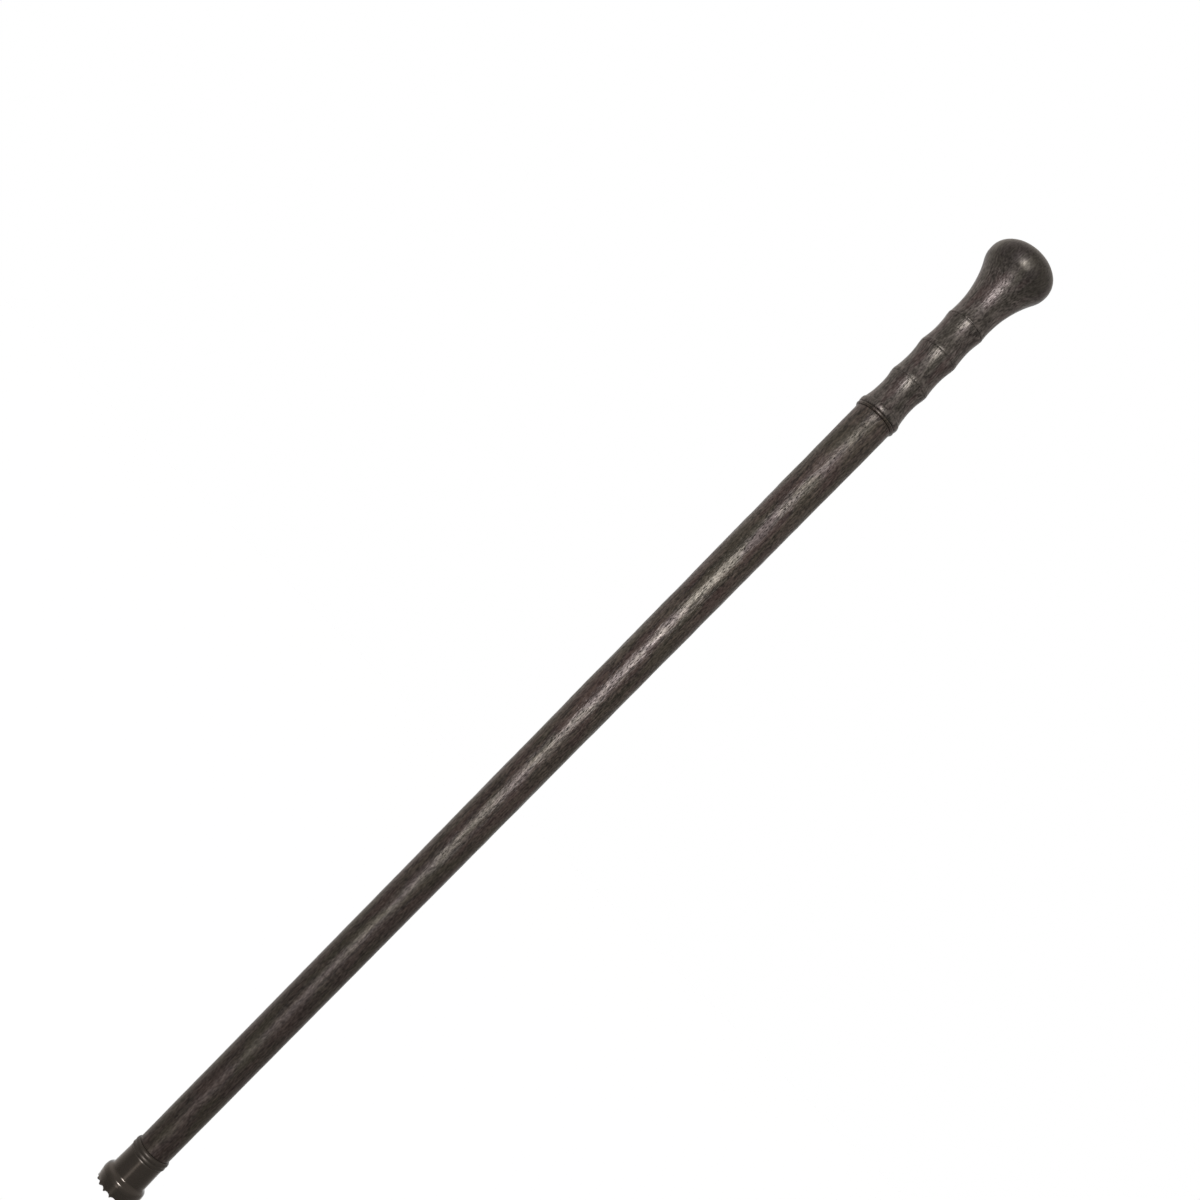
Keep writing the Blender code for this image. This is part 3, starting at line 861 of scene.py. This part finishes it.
@dataclass
class Shaft(WoodenPiece):
    """The tapered shaft, with a tenon and a bolt's bore above and a spigot below.

    Its lower shoulder is drawn down by the seating, so that it rests on the ferrule's mouth. Its finish is
    duller in an oval patch and in a band above that. Towards the foot, relief and open grain get weaker.
    """

    name: str = "shaft_turned"
    edge: float = 0.4
    chamfer: float = 1.0
    seating: float = 0.25
    columns: int = 184
    spacing: float = 1.6
    relief_inset: float = 0.03
    relief_ease: float = 3.0
    relief_fade: Pair = (150.0, 480.0)
    lower_relief: float = 0.45
    grain_fade: Pair = (180.0, 520.0)
    lower_grain: float = 0.35
    bare_wall: float = 0.5
    dull_centre: Pair = (0.3, 639.5)
    dull_half: Pair = (6.4, 17.0)
    dull_fade: Pair = (0.8, 1.1)
    dull_waves: Waves = Waves(5, 4.0, 6.0)
    dull_unevenness: float = 0.25
    dull_band_low: Pair = (668.0, 692.0)
    dull_band_top: Pair = (750.0, 760.0)
    dull_band_share: float = 0.7
    grain: Grain = Grain(pith=(16.0, 44.0), seed=11)

    def outline(self) -> Array:
        """The whole outline from the spigot's end to the floor of the bolt's bore.

        Returns:
            (radius, height) points.
        """
        d, edge, chamfer = self.datums, self.edge, self.chamfer
        diameters = (d.shaft_lower_d, d.shaft_upper_d, d.spigot_d, d.tenon_d, d.bolt_bore_d)
        lower, upper, spigot, tenon, bore = (diameter / 2 for diameter in diameters)
        base = d.shaft_base - self.seating
        return divide(chain(
            [(0.0, d.spigot_end), (spigot - chamfer, d.spigot_end), (spigot, d.spigot_end + chamfer)],
            [(spigot, base)],
            arc((lower - edge, base + edge), edge, -90.0, 0.0, 4),
            arc((upper - edge, d.shaft_top - edge), edge, 0.0, 90.0, 4),
            [(tenon, d.shaft_top), (tenon, d.tenon_top - chamfer), (tenon - chamfer, d.tenon_top)],
            [(bore, d.tenon_top), (bore, d.bolt_hole_floor), (0.0, d.bolt_hole_floor - bore * d.drill_slope)],
        ), self.spacing)

    def dullness(self, place: Array) -> Array:
        """Share of duller finish at each vertex: an uneven oval in front and a band all round.

        Args:
            place: the vertices in millimetres.

        Returns:
            One share for each vertex.
        """
        across = (place[:, 0] - self.dull_centre[0]) / self.dull_half[0]
        along = (place[:, 2] - self.dull_centre[1]) / self.dull_half[1]
        reach = across**2 + along**2 + self.dull_unevenness * self.dull_waves.at(place)
        oval = (1 - between(*self.dull_fade, reach)) * (place[:, 1] < 0)
        band = between(*self.dull_band_low, place[:, 2]) * (1 - between(*self.dull_band_top, place[:, 2]))
        return np.maximum(oval, self.dull_band_share * band)

    def build(self, finish: OiledHardwood) -> None:
        """Make the shaft, with the relief of its grain on the tapered part.

        Args:
            finish: the wood's finish.
        """
        d = self.datums
        outline = self.outline()
        rings = spin(outline, self.columns)
        shown = outline[:, 0] > d.shaft_lower_d / 2 - self.edge / 2
        from_base = between(d.shaft_base, d.shaft_base + self.relief_ease, outline[:, 1])
        to_top = between(-d.shaft_top, self.relief_ease - d.shaft_top, -outline[:, 1])
        full = self.lower_relief + (1 - self.lower_relief) * between(*self.relief_fade, outline[:, 1])
        height = (self.grain.relief(rings) - self.relief_inset) * (shown * from_base * to_top * full)[:, None]
        rings = rings + outward(outline, self.columns) * height[..., None]
        piece = skin(self.name, rings)
        place = positions(piece)
        hidden = np.hypot(place[:, 0], place[:, 1]) < d.tenon_d / 2 + self.bare_wall
        # towards the foot the grain is less open, so the wood is also drawn darker there
        opened = self.lower_grain + (1 - self.lower_grain) * between(*self.grain_fade, place[:, 2])
        shares = {"bare": hidden * self.bare_share, "dull": self.dullness(place), "open": opened}
        self.texture(piece, self.grain, **shares)
        dress(piece, Body.CANE, "shaft_wood", finish.make("oiled_hardwood_shaft"), "shaft")


@dataclass
class Ferrule:
    """The moulded rubber foot and the steel disc on the floor of its socket.

    The sole has a centre pad and two rings of cleats, with round channels between them.
    """

    datums: Datums
    length: float = 38.0
    sole: float = 9.2
    barrel_d: float = 27.8
    barrel_swell: float = 0.35
    groove_edge_drop: float = 7.8
    groove_drop: float = 6.75
    groove_depth: float = 0.28
    bead_drop: float = 5.3
    nip_drop: float = 3.75
    nip_depth: float = 0.45
    rim_drop: float = 2.2
    rim_rise: float = 0.55
    rim_rounding: float = 2.5
    rim_sweep: float = 60.0
    mouth_edge: float = 0.5
    base_overhang: float = 3.25
    base_height: float = 8.2
    base_taper: float = 1.35
    wall_bow: float = 12.0
    wall_turn: float = 13.0
    shoulder_radius: float = 2.9
    shoulder_sweep: float = 50.0
    fillet_radius: float = 2.6
    foot_radius: float = 0.8
    pad_radius: float = 4.6
    channel: float = 1.3
    channel_depth: float = 2.0
    channel_edge: float = 0.25
    inner_cleat: float = 3.4
    inner_cleats: int = 8
    outer_cleats: int = 16
    notch_depth: float = 1.6
    notch_share: float = 0.86
    cleat_phase: float = 1.9
    lift_height: float = 4.0
    lift_margin: float = 1.0
    sole_spacing: float = 0.7
    wall_spacing: float = 0.5
    barrel_spacing: float = 0.8
    socket_spacing: float = 1.5
    columns: int = 480
    worn_fade: Pair = (0.2, 2.4)
    worn_share: float = 0.8
    matt_fade: Pair = (29.4, 32.2)
    disc_thickness: float = 1.5
    disc_edge: float = 0.3
    disc_spacing: float = 0.9
    disc_columns: int = 128

    def sole_outline(self) -> Array:
        """The sole from its centre to the outer ring of cleats, with two round channels.

        Returns:
            (radius, height) points.
        """
        soft, deep = self.channel_edge, self.channel_depth
        runs = [[(0.0, 0.0)]]
        for inner in (self.pad_radius, self.pad_radius + self.channel + self.inner_cleat):
            outer = inner + self.channel
            runs += [
                arc((inner - soft, soft), soft, -90.0, 0.0, 3),
                arc((inner + soft, deep - soft), soft, 180.0, 90.0, 3),
                arc((outer - soft, deep - soft), soft, 90.0, 0.0, 3),
                arc((outer + soft, soft), soft, 180.0, 270.0, 3),
            ]
        return divide(chain(*runs), self.sole_spacing)

    def base_outline(self) -> Array:
        """The base's wall from the foot, its bowed top, a rounded shoulder and a fillet to the barrel.

        Returns:
            (radius, height) points.
        """
        base, barrel = self.barrel_d / 2 + self.base_overhang, self.barrel_d / 2 + self.barrel_swell
        foot = base - self.base_taper
        bowed = arc((base - self.wall_bow, self.base_height), self.wall_bow, 0.0, self.wall_turn, 6)
        start, swept = math.radians(self.wall_turn), math.radians(self.shoulder_sweep)
        centre = bowed[-1] - self.shoulder_radius * np.array([math.cos(start), math.sin(start)])
        shoulder = arc(tuple(centre), self.shoulder_radius, self.wall_turn, self.shoulder_sweep, 14)
        fillet_foot = barrel + self.fillet_radius * (1 - math.cos(swept))
        fillet_low = shoulder[-1, 1] + (shoulder[-1, 0] - fillet_foot) / math.tan(swept)
        fillet_centre = (barrel + self.fillet_radius, fillet_low + self.fillet_radius * math.sin(swept))
        return chain(
            arc((foot - self.foot_radius, self.foot_radius), self.foot_radius, -90.0, 0.0, 8),
            divide([(foot, self.foot_radius), (base, self.base_height)], self.wall_spacing),
            bowed,
            shoulder,
            arc(fillet_centre, self.fillet_radius, 180.0 + self.shoulder_sweep, 180.0, 12),
        )

    def rim_outline(self) -> Array:
        """The barrel's top edge, a groove, a bead, a nip and the rounded rim, as parabolas and an arc.

        Returns:
            (radius, height) points.
        """
        barrel, mouth = self.barrel_d / 2, self.length
        crest = barrel + self.rim_rise
        edge = (barrel, mouth - self.groove_edge_drop)
        groove = (barrel - self.groove_depth, mouth - self.groove_drop)
        bead_crest = (crest, mouth - self.bead_drop)
        nip = (crest - self.nip_depth, mouth - self.nip_drop)
        rim = (crest, mouth - self.rim_drop)
        return chain(
            bend(edge, groove, 8),
            bend(bead_crest, groove, 10)[::-1],
            bend(bead_crest, nip, 10),
            bend(rim, nip, 10)[::-1],
            arc((rim[0] - self.rim_rounding, rim[1]), self.rim_rounding, 0.0, self.rim_sweep, 14),
        )

    def outline(self) -> Array:
        """The whole outline: the sole, the outside up to the mouth, and the socket down to its floor.

        Returns:
            (radius, height) points.
        """
        base, rim, edge = self.base_outline(), self.rim_outline(), self.mouth_edge
        socket, mouth = self.datums.spigot_d / 2 + self.datums.gap, self.length
        return chain(
            self.sole_outline(),
            base,
            divide([base[-1], rim[0]], self.barrel_spacing),
            rim,
            arc((socket + edge, mouth - edge), edge, 90.0, 180.0, 5),
            divide([(socket, mouth - edge), (socket, self.sole)], self.socket_spacing),
            divide([(socket, self.sole), (0.0, self.sole)], self.socket_spacing),
        )

    def lift(self, rings: Array) -> Array:
        """How far each point of the sole is raised by the notches that part the cleats.

        A notch has a half-elliptic section: depth times the root of 1 - q squared, where q is the share
        of its half angle.

        Args:
            rings: the sole's rings of points.

        Returns:
            One height for each point.
        """
        radius = np.hypot(rings[..., 0], rings[..., 1])
        angle = np.degrees(np.arctan2(rings[..., 1], rings[..., 0])) - self.cleat_phase
        first = self.pad_radius + self.channel / 2
        second = first + self.channel + self.inner_cleat
        raised = np.zeros(radius.shape)
        cleats = ((self.inner_cleats, first, second), (self.outer_cleats, second, math.inf))
        for count, inner, outer in cleats:
            pitch = 360 / count
            aside = np.abs((angle % pitch) - pitch / 2) / (pitch / 2 * self.notch_share)
            depth = self.notch_depth * np.sqrt(np.clip(1 - aside**2, 0, 1))
            raised = np.where((radius > inner) & (radius <= outer), depth, raised)
        return raised

    def build_ferrule(self, finish: MouldedRubber) -> None:
        """Make the rubber foot: below the lift height, the notches squeeze the surface upwards.

        Args:
            finish: the rubber's finish.
        """
        outline = self.outline()
        rings = spin(outline, self.columns)
        wall = outline[:, 0] > self.pad_radius + 2 * self.channel + self.inner_cleat + self.lift_margin
        reach = np.where(wall, self.lift_height, self.channel_depth)[:, None]
        height = rings[..., 2]
        raised = self.lift(rings)
        rings[..., 2] = np.where(height < reach, raised + height * (1 - raised / reach), height)
        piece = skin("ferrule_moulded", rings)
        place = positions(piece)
        write_attribute(piece, "worn", (1 - between(*self.worn_fade, place[:, 2])) * self.worn_share)
        write_attribute(piece, "matt", between(*self.matt_fade, place[:, 2]))
        dress(piece, Body.FOOT, "ferrule_rubber", finish.make("moulded_rubber"), "ferrule")

    def build_disc(self, finish: WorkedMetal) -> None:
        """Make the steel disc, a flat stamped blank with rounded edges.

        Args:
            finish: the metal's finish.
        """
        radius, low = self.datums.spigot_d / 2, self.sole + self.datums.gap
        top, edge = low + self.disc_thickness, self.disc_edge
        outline = divide(chain(
            [(0.0, low)],
            arc((radius - edge, low + edge), edge, -90.0, 0.0, 5),
            arc((radius - edge, top - edge), edge, 0.0, 90.0, 5),
            [(0.0, top)],
        ), self.disc_spacing)
        piece = skin("ferrule_disc_stamped", spin(outline, self.disc_columns))
        dress(piece, Body.FOOT, "disc_steel", finish.make("zinc_plated_disc"), "ferrule_disc")


@dataclass(frozen=True)
class Softbox:
    """A rectangular lamp that isn't seen itself; lengths in metres, power in watts."""

    name: str
    at: Triple
    aim: Triple
    size: Pair
    power: float

    def build(self) -> None:
        """Add the lamp, turned to its aim with its height upright."""
        light = bpy.data.lights.new(self.name, "AREA")
        light.shape = "RECTANGLE"
        light.size, light.size_y = self.size
        light.energy = self.power
        lamp = bpy.data.objects.new(self.name, light)
        lamp.location = self.at
        lamp.rotation_mode = "QUATERNION"
        lamp.rotation_quaternion = (Vector(self.aim) - Vector(self.at)).to_track_quat("-Z", "Y")
        lamp.visible_camera = False
        bpy.context.scene.collection.objects.link(lamp)


@dataclass
class Studio:
    """A white floor, two soft lamps in front, a white backdrop, a plain surround and the camera.

    Lengths are in metres, but the lens and its sensor are in millimetres. Levels are the light from the
    left and from the right. Slopes and the strip's ends are ramps (low, high, start, end) over the
    direction's height.
    """

    lens: float = 45.8
    sensor: float = 36.0
    camera_at: Triple = (0.0, -1.0962, 0.4108)
    aim: Triple = (-0.0493, 0.0, 0.5250)
    cane_line: tuple[Triple, Triple] = ((0.0, 0.0, 0.0), (0.0, 0.0, 0.9))
    knob_direction: Pair = (0.70169, 0.71249)
    lamps: tuple[Softbox, ...] = (
        Softbox("key_softbox", (-0.37, -3.0, 0.98), (0.0, 0.0, 0.55), (0.83, 0.5), 89.0),
        Softbox("low_softbox", (-0.06, -0.50, 0.25), (0.0, 0.0, 0.25), (0.14, 0.32), 0.45),
    )
    light_colour: str = "#fff6ee"
    white: str = "#ffffff"
    front_levels: Pair = (0.30, 0.34)
    front_slope: Ramp = (-0.35, 0.42, 0.55, 1.8)
    back_levels: Pair = (1.07, 0.43)
    back_slope: Ramp = (0.0, 0.42, 1.0, 1.35)
    back_span: Pair = (-0.3, 0.6)
    backdrop_span: Pair = (0.75, 0.9)
    strip_level: float = 3.0
    strip_at: float = -0.11
    strip_width: float = 0.11
    strip_span: Pair = (-0.5, 0.0)
    strip_top: Ramp = (-0.14, 0.0, 1.0, 0.0)
    strip_foot: Ramp = (-0.4, -0.2, 0.25, 1.0)
    floor_colour: str = "#e6e6e6"
    floor_reach: float = 12.0
    floor_lift: float = 0.96
    floor_glow: float = 0.022
    floor_wedge: float = 1.2
    floor_span: Pair = (0.0, 0.3)

    def backdrop_rays(self, tree: Tree, behind: Socket) -> Socket:
        """Share in which a ray sees the white backdrop: all camera rays, gloss and glass behind the cane.

        Args:
            tree: the node tree.
            behind: the share in which a place or direction is behind the cane.

        Returns:
            The share.
        """
        rays = add_node(tree, "LightPath").outputs
        gloss = reckon(tree, "MAXIMUM", rays["Is Glossy Ray"], rays["Is Transmission Ray"])
        return reckon(tree, "MAXIMUM", rays["Is Camera Ray"], times(tree, gloss, behind))

    def floor(self) -> None:
        """Lay a matt white floor that keeps the cane's shadow.

        The camera sees the white backdrop through it, and so the ferrule when it is pulled off below it.
        """
        mesh = bpy.data.meshes.new("floor")
        far = self.floor_reach
        mesh.from_pydata([(-far, -far, 0), (far, -far, 0), (far, far, 0), (-far, far, 0)], [], [(0, 1, 2, 3)])
        floor = bpy.data.objects.new("floor", mesh)
        floor.visible_glossy = False
        bpy.context.scene.collection.objects.link(floor)
        material, tree = new_material("matt_white_floor")
        place = add_node(tree, "TexCoord").outputs["Object"]
        way = add_node(tree, "SeparateXYZ", {0: place}).outputs
        beside = reckon(tree, "ABSOLUTE", way["X"])
        behind = ramp(tree, weigh(tree, beside, -self.floor_wedge, way["Y"]), *self.floor_span)
        lift = times(tree, self.backdrop_rays(tree, behind), self.floor_lift)
        matt = add_node(tree, "BsdfDiffuse", {"Color": linear(self.floor_colour)})
        clear = add_node(tree, "BsdfTransparent", {"Color": linear(self.white)})
        glow = add_node(tree, "Emission", {"Strength": self.floor_glow})
        through = add_node(tree, "AddShader", {0: clear.outputs[0], 1: glow.outputs[0]})
        mix = add_node(tree, "MixShader", {0: lift, 1: matt.outputs[0], 2: through.outputs[0]})
        add_node(tree, "OutputMaterial", {"Surface": mix.outputs[0]})
        mesh.materials.append(material)

    def surround(self) -> None:
        """Make the world: soft light by direction, a low strip of light in front, and the white backdrop.

        The strip's level falls off to both sides as e to the power of minus the square of the distance.
        """
        world = bpy.data.worlds.new("studio")
        bpy.context.scene.world = world
        world.use_nodes = True
        tree = world.node_tree
        tree.nodes.clear()
        way = add_node(tree, "SeparateXYZ", {0: add_node(tree, "TexCoord").outputs["Generated"]}).outputs
        front = ramp(tree, way["X"], -1.0, 1.0, *self.front_levels)
        front = times(tree, front, ramp(tree, way["Z"], *self.front_slope))
        back = ramp(tree, way["X"], -1.0, 1.0, *self.back_levels)
        back = times(tree, back, ramp(tree, way["Z"], *self.back_slope))
        backness = ramp(tree, way["Y"], *self.back_span)
        plain = weigh(tree, reckon(tree, "SUBTRACT", back, front), backness, front)
        offset = reckon(tree, "SUBTRACT", way["X"], self.strip_at)
        aside = reckon(tree, "DIVIDE", offset, self.strip_width)
        fall = reckon(tree, "EXPONENT", times(tree, times(tree, aside, aside), -1.0))
        in_front = ramp(tree, way["Y"], *self.strip_span, self.strip_level, 0.0)
        top, foot = (ramp(tree, way["Z"], *end) for end in (self.strip_top, self.strip_foot))
        level = weigh(tree, fall, times(tree, in_front, times(tree, top, foot)), plain)
        rays = self.backdrop_rays(tree, ramp(tree, way["Y"], *self.backdrop_span))
        soft = add_node(tree, "Background", {"Color": linear(self.light_colour), "Strength": level})
        white = add_node(tree, "Background", {"Color": linear(self.white), "Strength": 1.0})
        mix = add_node(tree, "MixShader", {0: rays, 1: soft.outputs[0], 2: white.outputs[0]})
        add_node(tree, "OutputWorld", {"Surface": mix.outputs[0]})

    def camera(self) -> None:
        """Aim the camera and roll it so that the cane's image points from foot to knob as photographed."""
        at, aim = np.array(self.camera_at), np.array(self.aim)
        forward = (aim - at) / np.linalg.norm(aim - at)
        ends = np.array(self.cane_line) - at
        ends = ends / (ends @ forward)[:, None]
        along = (ends[1] - ends[0]) / np.linalg.norm(ends[1] - ends[0])
        aside = np.cross(along, forward)
        east, north = self.knob_direction
        right = east * along - north * aside
        up = north * along + east * aside
        turn = Matrix((right, up, -forward)).transposed().to_4x4()
        lens = bpy.data.cameras.new("camera")
        lens.lens, lens.sensor_width = self.lens, self.sensor
        camera = bpy.data.objects.new("camera", lens)
        camera.matrix_world = Matrix.Translation(Vector(at)) @ turn
        bpy.context.scene.collection.objects.link(camera)
        bpy.context.scene.camera = camera

    def build(self) -> None:
        """Set up everything round the cane."""
        self.camera()
        for lamp in self.lamps:
            lamp.build()
        self.surround()
        self.floor()
        bpy.context.scene.view_settings.view_transform = "Standard"


def main() -> None:
    """Build the studio, then the cane's pieces, and report each."""
    logging.basicConfig(level=logging.INFO, format="%(message)s")
    Studio().build()
    datums = Datums()
    wood = OiledHardwood()
    handled_wood = OiledHardwood(latewood="#4a4542", earlywood="#100f0e", green_stain="#1f1e1b")
    zinc = WorkedMetal(face="#c3c5c6", cloud="#aeb1b4", roughness=0.32, cloud_size=3.0, mark_pitch=0.3)
    brass = WorkedMetal(face="#c9a562", cloud="#b08d4c", roughness=0.28, cloud_size=4.0, mark_pitch=0.25)
    Grip(datums).build(handled_wood)
    SpacerRing(datums).build(wood)
    Shaft(datums).build(wood)
    ferrule = Ferrule(datums)
    ferrule.build_ferrule(MouldedRubber())
    ferrule.build_disc(zinc)
    kept_nodes = (("hanger_bolt", zinc, "zinc_plated_bolt"), ("grip_insert", brass, "turned_brass"))
    for node, finish, name in kept_nodes:
        material = finish.make(name)
        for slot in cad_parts[node].material_slots:
            slot.material = material
        log.info("%s: CAD node with the finish %s", node, name)


if __name__ == "__main__":
    main()
